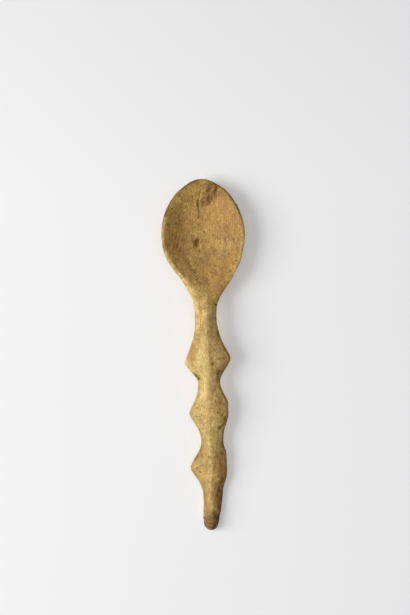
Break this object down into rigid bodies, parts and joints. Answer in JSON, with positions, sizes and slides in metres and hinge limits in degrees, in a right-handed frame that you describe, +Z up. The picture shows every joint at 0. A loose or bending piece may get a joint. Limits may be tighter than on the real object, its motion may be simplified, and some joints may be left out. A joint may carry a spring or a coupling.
{
  "type": "bone spoon",
  "caption": "Spoon carved from one piece of bone, with an egg-shaped bowl, a narrow neck and a notched handle with pointed lobes that ends in a blunt tip.",
  "frame": {"origin": "on the table under the middle of the spoon's bounding box, with the spoon lying on its back", "axes": "+Y from the end of the handle to the tip of the bowl, +Z up out of the hollow of the bowl, +X to the right seen from above with the bowl ahead"},
  "size_m": [0.0356, 0.1506, 0.0119],
  "materials": {
    "bone": "satin"
  },
  "bodies": {
    "root": {"bone_spoon": "bone"}
  },
  "joints": []
}
